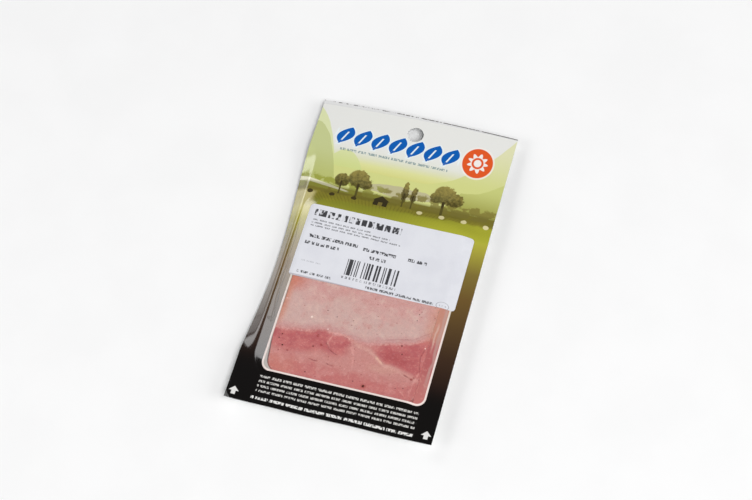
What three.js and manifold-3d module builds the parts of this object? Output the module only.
// A pack of sliced pepper ham, lying face up.
//
// A clear formed tray has a wide flat flange and a shallow pocket. A stack of square-cut slices fills
// the pocket and stands a little above the flange. A printed top film is sealed to the flange and
// stretched over the stack. It carries a paper label, and the head of the pack has a round hole to
// hang it by.
//
// Millimetres, +Z up. The origin is at the middle of the pack's outline, on the surface that it lies
// on. +Y runs from the foot of the pack to the hang hole.

import * as THREE from 'three';
import { mergeVertices } from 'three/addons/utils/BufferGeometryUtils.js';
import Module from 'manifold-3d';

// Driving dimensions.

const PACK = { width: 121.5, length: 207.5 };

const POCKET = {
  left: -52.2,
  right: 55,
  foot: -86.25, // where the flange ends and the pocket begins
  head: 41.75,
  cornerRadius: 16,
  lean: 1.2, // how far the walls lean in on the way down
  floorRadius: 1.6,
};

const SLICE = {
  count: 7,
  width: 90,
  length: 117,
  thickness: 1.2,
  cornerRadius: 8,
  wobble: 0.4, // how far the cut edge wanders from a straight line
  sideways: 2.6, // how far the slices stray from the stack's middle
  lengthways: 0.5,
  turn: 0.35, // degrees
};

const STACK = { middleX: 2, middleY: -24.6 }; // middle of the stack
const TOP_SLICE = { middleX: 0.1, middleY: -24.6 };

const LAYER_GAP = 0.1; // clearance between layers that lie on each other
const TRAY_WALL = 0.4;
const FILM_THICKNESS = 0.25;
const FILM_RISE = 2.2; // the film over the ham, above the film on the flange
const FILM_OVER_EDGE = 1; // how far past the top slice the film stays level
const FILM_CORNER_RADIUS = 3;

const LABEL = { width: 100, length: 49.2, middleX: 2.6, middleY: 4.2, cornerRadius: 2, thickness: 0.2 };

const HANG_HOLE = { radius: 5, fromHeadEdge: 12.6 };

// The left flange curls down beside the pocket.
const CURL = {
  start: -52.6,
  bendLength: 3,
  angle: 55,
  fade: 0.75, // how quickly the angle falls towards the ends; less is later and steeper
  middleY: -12,
  footReach: 61,
  headReach: 80,
};
const HEAD_ARCH = { startY: 46, droop: 2 }; // the head's two corners hang lower than its middle
const FOOT_CORNER = { reach: 24, lift: 1.5 }; // the left foot corner turns up
const FOOT_WAVE = { depth: 0.35, cycles: 2.5, reach: 12 };

// Heights above the surface that the pack lies on.

const slicePitch = SLICE.thickness + LAYER_GAP;
const stackFoot = TRAY_WALL + LAYER_GAP;
const stackTop = stackFoot + SLICE.count * slicePitch - LAYER_GAP;
const sealHeight = stackTop + LAYER_GAP - FILM_RISE; // underside of the film on the flange
const flangeTop = sealHeight - LAYER_GAP;
const flangeFoot = flangeTop - TRAY_WALL;

const edge = {
  left: -PACK.width / 2,
  right: PACK.width / 2,
  foot: -PACK.length / 2,
  head: PACK.length / 2,
};

const pocketRim = {
  middleX: (POCKET.left + POCKET.right) / 2,
  middleY: (POCKET.foot + POCKET.head) / 2,
  halfWidth: (POCKET.right - POCKET.left) / 2,
  halfLength: (POCKET.head - POCKET.foot) / 2,
  radius: POCKET.cornerRadius,
};

// The level part of the film, over the top slice.
const filmLevel = {
  middleX: TOP_SLICE.middleX,
  middleY: TOP_SLICE.middleY,
  halfWidth: SLICE.width / 2 + FILM_OVER_EDGE,
  halfLength: SLICE.length / 2 + FILM_OVER_EDGE,
  radius: FILM_CORNER_RADIUS,
};

// Materials.

const clearPlastic = new THREE.MeshStandardMaterial({
  color: 0xdfe6e4,
  roughness: 0.12,
  metalness: 0,
  transparent: true,
  opacity: 0.35,
});
const printedFilm = new THREE.MeshStandardMaterial({ color: 0x8f9a4a, roughness: 0.2, metalness: 0 });
const labelPaper = new THREE.MeshStandardMaterial({ color: 0xe6e8ee, roughness: 0.55, metalness: 0 });
const ham = new THREE.MeshStandardMaterial({ color: 0xc98480, roughness: 0.4, metalness: 0 });

// Joining and cutting.

const wasm = await Module();
wasm.setup();

function toSolid(geometry) {
  const bare = geometry.clone();
  bare.deleteAttribute('normal');
  bare.deleteAttribute('uv');
  const merged = mergeVertices(bare, 1e-5);
  const mesh = new wasm.Mesh({
    numProp: 3,
    vertProperties: new Float32Array(merged.attributes.position.array),
    triVerts: new Uint32Array(merged.index.array),
  });
  return new wasm.Manifold(mesh);
}

function toGeometry(solid) {
  const mesh = solid.getMesh();
  const geometry = new THREE.BufferGeometry();
  geometry.setAttribute('position', new THREE.BufferAttribute(new Float32Array(mesh.vertProperties), 3));
  geometry.setIndex(new THREE.BufferAttribute(new Uint32Array(mesh.triVerts), 1));
  geometry.computeVertexNormals();
  return geometry;
}

// Outlines.

const CORNER_STEPS = 6;
const OUTLINE_STEPS = 80; // round one slice
const CUTTER_HEIGHT = 40; // more than the pack's height

function roundedRectangle(halfWidth, halfLength, radius) {
  const shape = new THREE.Shape();
  shape.moveTo(halfWidth, radius - halfLength);
  shape.lineTo(halfWidth, halfLength - radius);
  shape.absarc(halfWidth - radius, halfLength - radius, radius, 0, Math.PI / 2, false);
  shape.lineTo(radius - halfWidth, halfLength);
  shape.absarc(radius - halfWidth, halfLength - radius, radius, Math.PI / 2, Math.PI, false);
  shape.lineTo(-halfWidth, radius - halfLength);
  shape.absarc(radius - halfWidth, radius - halfLength, radius, Math.PI, 1.5 * Math.PI, false);
  shape.lineTo(halfWidth - radius, -halfLength);
  shape.absarc(halfWidth - radius, radius - halfLength, radius, 1.5 * Math.PI, 2 * Math.PI, false);
  return shape;
}

// Distance of a point outside a rounded rectangle. It is negative inside.
function distanceOutside(outline, x, y) {
  const { middleX, middleY, halfWidth, halfLength, radius } = outline;
  const sideways = Math.abs(x - middleX) - (halfWidth - radius);
  const lengthways = Math.abs(y - middleY) - (halfLength - radius);
  const outer = Math.hypot(Math.max(sideways, 0), Math.max(lengthways, 0));
  return outer + Math.min(Math.max(sideways, lengthways), 0) - radius;
}

// The shape that the flange and the film take.

function curlAngle(y) {
  const reach = y < CURL.middleY ? CURL.footReach : CURL.headReach;
  const away = Math.min(Math.abs(y - CURL.middleY) / reach, 1);
  return THREE.MathUtils.degToRad(CURL.angle) * Math.max(0, Math.cos((away * Math.PI) / 2)) ** CURL.fade;
}

// Where a point of the left flange goes as the flange curls down along the pocket.
function curled(x, y) {
  const past = CURL.start - x;
  const angle = curlAngle(y);
  if (past <= 0 || angle < 1e-4) {
    return { x, drop: 0 };
  }
  const bent = Math.min(past, CURL.bendLength);
  const turn = (angle * bent) / CURL.bendLength;
  const bendRadius = CURL.bendLength / angle;
  const straight = past - bent;
  return {
    x: CURL.start - bendRadius * Math.sin(turn) - straight * Math.cos(turn),
    drop: bendRadius * (1 - Math.cos(turn)) + straight * Math.sin(turn),
  };
}

function headDroop(x, y) {
  const up = THREE.MathUtils.clamp((y - HEAD_ARCH.startY) / (edge.head - HEAD_ARCH.startY), 0, 1);
  return HEAD_ARCH.droop * up * (x / edge.right) ** 2;
}

function footLift(x, y) {
  const fromCorner = Math.hypot(x - edge.left, y - edge.foot);
  const corner = FOOT_CORNER.lift * Math.max(0, 1 - fromCorner / FOOT_CORNER.reach) ** 2;
  const nearEdge = Math.max(0, 1 - (y - edge.foot) / FOOT_WAVE.reach);
  const wave = FOOT_WAVE.depth * nearEdge * Math.sin((2 * Math.PI * FOOT_WAVE.cycles * x) / PACK.width);
  return corner + wave;
}

// How high the film stands above its seal: 0 on the flange, the full rise over the top slice, and a
// straight slope between the two outlines.
function filmRise(x, y) {
  const insideRim = -distanceOutside(pocketRim, x, y);
  const outsideLevel = distanceOutside(filmLevel, x, y);
  if (insideRim <= 0) {
    return 0;
  }
  return outsideLevel <= 0 ? FILM_RISE : (FILM_RISE * insideRim) / (insideRim + outsideLevel);
}

// Grid lines through key places, with each span cut into equal steps.
function gridLines(places, steps) {
  const lines = [places[0]];
  steps.forEach((count, span) => {
    for (let i = 1; i <= count; i += 1) {
      lines.push(THREE.MathUtils.lerp(places[span], places[span + 1], i / count));
    }
  });
  return lines;
}

// Key places from one edge of the pack to the other, with the corners of the level film marked off.
function keyPlaces(low, rimLow, middle, half, rimHigh, high) {
  const corner = FILM_CORNER_RADIUS;
  const levelLow = middle - half;
  const levelHigh = middle + half;
  return [low, rimLow, levelLow, levelLow + corner, levelHigh - corner, levelHigh, rimHigh, high];
}

const columns = gridLines(
  keyPlaces(edge.left, CURL.start, filmLevel.middleX, filmLevel.halfWidth, POCKET.right, edge.right),
  [3, 3, 2, 6, 2, 3, 2],
);
const rows = gridLines(
  keyPlaces(edge.foot, POCKET.foot, filmLevel.middleY, filmLevel.halfLength, POCKET.head, edge.head),
  [3, 1, 2, 11, 2, 2, 6],
);

// A box's underside has its squares split the other way round from its top side. This splits them
// alike, so that bent sheets that lie on each other stay apart.
function splitUndersideLikeTop(geometry) {
  const underside = geometry.groups[5];
  for (let i = underside.start; i < underside.start + underside.count; i += 6) {
    geometry.index.setX(i + 2, geometry.index.getX(i + 4));
    geometry.index.setX(i + 3, geometry.index.getX(i));
  }
}

// A thin sheet as large as the pack, bent as the flange is. low and high give the heights of its two
// faces at a place.
function sheet(low, high) {
  const across = columns.length - 1;
  const along = rows.length - 1;
  const geometry = new THREE.BoxGeometry(across, along, 1, across, along, 1);
  splitUndersideLikeTop(geometry);
  const position = geometry.attributes.position;
  for (let i = 0; i < position.count; i += 1) {
    const x = columns[Math.round(position.getX(i) + across / 2)];
    const y = rows[Math.round(position.getY(i) + along / 2)];
    const height = position.getZ(i) > 0 ? high(x, y) : low(x, y);
    const bent = curled(x, y);
    position.setXYZ(i, bent.x, y, height - bent.drop - headDroop(x, y) + footLift(x, y));
  }
  return toSolid(geometry);
}

// The pocket's form as a solid, from its floor to the middle of the flange and straight on upwards for
// `above` more. offset grows it sideways.
function tub(floor, offset, above) {
  const floorRadius = POCKET.floorRadius + offset;
  const levels = [];
  for (let i = 0; i <= CORNER_STEPS; i += 1) {
    const turn = (i / CORNER_STEPS) * (Math.PI / 2);
    levels.push({
      z: floor + floorRadius * (1 - Math.cos(turn)),
      inset: POCKET.lean + floorRadius * (1 - Math.sin(turn)) - offset,
    });
  }
  const rimHeight = flangeFoot + TRAY_WALL / 2;
  levels.push({ z: rimHeight, inset: -offset });
  if (above > 0) {
    levels.push({ z: rimHeight + above, inset: -offset });
  }
  const { middleX, middleY, halfWidth, halfLength, radius } = pocketRim;
  const depth = levels.length - 1;
  const geometry = new THREE.ExtrudeGeometry(roundedRectangle(halfWidth, halfLength, radius), {
    depth,
    steps: depth,
    bevelEnabled: false,
    curveSegments: CORNER_STEPS,
  });
  const position = geometry.attributes.position;
  for (let i = 0; i < position.count; i += 1) {
    const level = levels[Math.round(position.getZ(i))];
    const x = middleX + position.getX(i) * (1 - level.inset / halfWidth);
    const y = middleY + position.getY(i) * (1 - level.inset / halfLength);
    position.setXYZ(i, x, y, level.z);
  }
  return toSolid(geometry);
}

// The hang hole, punched through tray and film together.
function holePunch() {
  const punch = new THREE.CylinderGeometry(HANG_HOLE.radius, HANG_HOLE.radius, CUTTER_HEIGHT, 48);
  punch.rotateX(Math.PI / 2);
  punch.translate(0, edge.head - HANG_HOLE.fromHeadEdge, 0);
  return toSolid(punch);
}

// Clear tray: the flange and the pocket are one formed sheet.
function makeTray() {
  const flange = sheet(() => flangeFoot, () => flangeTop);
  const outside = tub(0, TRAY_WALL, 0);
  const inside = tub(TRAY_WALL, 0, TRAY_WALL);
  const body = flange.add(outside).subtract(inside).subtract(holePunch());
  return new THREE.Mesh(toGeometry(body), clearPlastic);
}

// Printed top film, sealed round the pocket and drawn over the ham.
function makeTopFilm() {
  const low = (x, y) => sealHeight + filmRise(x, y);
  const high = (x, y) => low(x, y) + FILM_THICKNESS;
  const body = sheet(low, high).subtract(holePunch());
  return new THREE.Mesh(toGeometry(body), printedFilm);
}

// Paper label, stuck on the film and bent with it.
function makeLabel() {
  const low = (x, y) => sealHeight + filmRise(x, y) + FILM_THICKNESS + LAYER_GAP;
  const high = (x, y) => low(x, y) + LABEL.thickness;
  const outline = roundedRectangle(LABEL.width / 2, LABEL.length / 2, LABEL.cornerRadius);
  const cutter = new THREE.ExtrudeGeometry(outline, {
    depth: CUTTER_HEIGHT,
    bevelEnabled: false,
    curveSegments: CORNER_STEPS,
  });
  cutter.translate(LABEL.middleX, LABEL.middleY, 0);
  const body = sheet(low, high).intersect(toSolid(cutter));
  return new THREE.Mesh(toGeometry(body), labelPaper);
}

// One slice of ham, with its cut edge a little uneven. seed makes each slice different.
function makeSlice(seed) {
  const outline = roundedRectangle(SLICE.width / 2, SLICE.length / 2, SLICE.cornerRadius);
  const points = outline.getSpacedPoints(OUTLINE_STEPS).slice(0, -1);
  const uneven = points.map((point) => {
    const turn = Math.atan2(point.y, point.x);
    const wander = 0.6 * Math.sin(5 * turn + 1.9 * seed) + 0.4 * Math.sin(9 * turn + 2.7 * seed);
    return point.clone().setLength(point.length() + SLICE.wobble * wander);
  });
  const geometry = new THREE.ExtrudeGeometry(new THREE.Shape(uneven), {
    depth: SLICE.thickness,
    bevelEnabled: false,
  });
  return new THREE.Mesh(toGeometry(toSolid(geometry)), ham);
}

// Where a slice of the stack lies. The top one lies straight, under the window.
function placeSlice(slice, index) {
  const isTop = index === SLICE.count - 1;
  const x = STACK.middleX + SLICE.sideways * Math.sin(2.2 * index + 0.7);
  const y = STACK.middleY + SLICE.lengthways * Math.cos(1.7 * index);
  slice.position.set(
    isTop ? TOP_SLICE.middleX : x,
    isTop ? TOP_SLICE.middleY : y,
    stackFoot + index * slicePitch,
  );
  slice.rotation.z = isTop ? 0 : THREE.MathUtils.degToRad(SLICE.turn * Math.sin(1.3 * index + 1));
}

const pack = new THREE.Group();

function addPiece(mesh, name) {
  mesh.name = name;
  pack.add(mesh);
}

addPiece(makeTray(), 'tray');
for (let i = 0; i < SLICE.count; i += 1) {
  const slice = makeSlice(i);
  placeSlice(slice, i);
  addPiece(slice, `ham_slice_${i + 1}`);
}
addPiece(makeTopFilm(), 'top_film');
addPiece(makeLabel(), 'label');

export default pack;
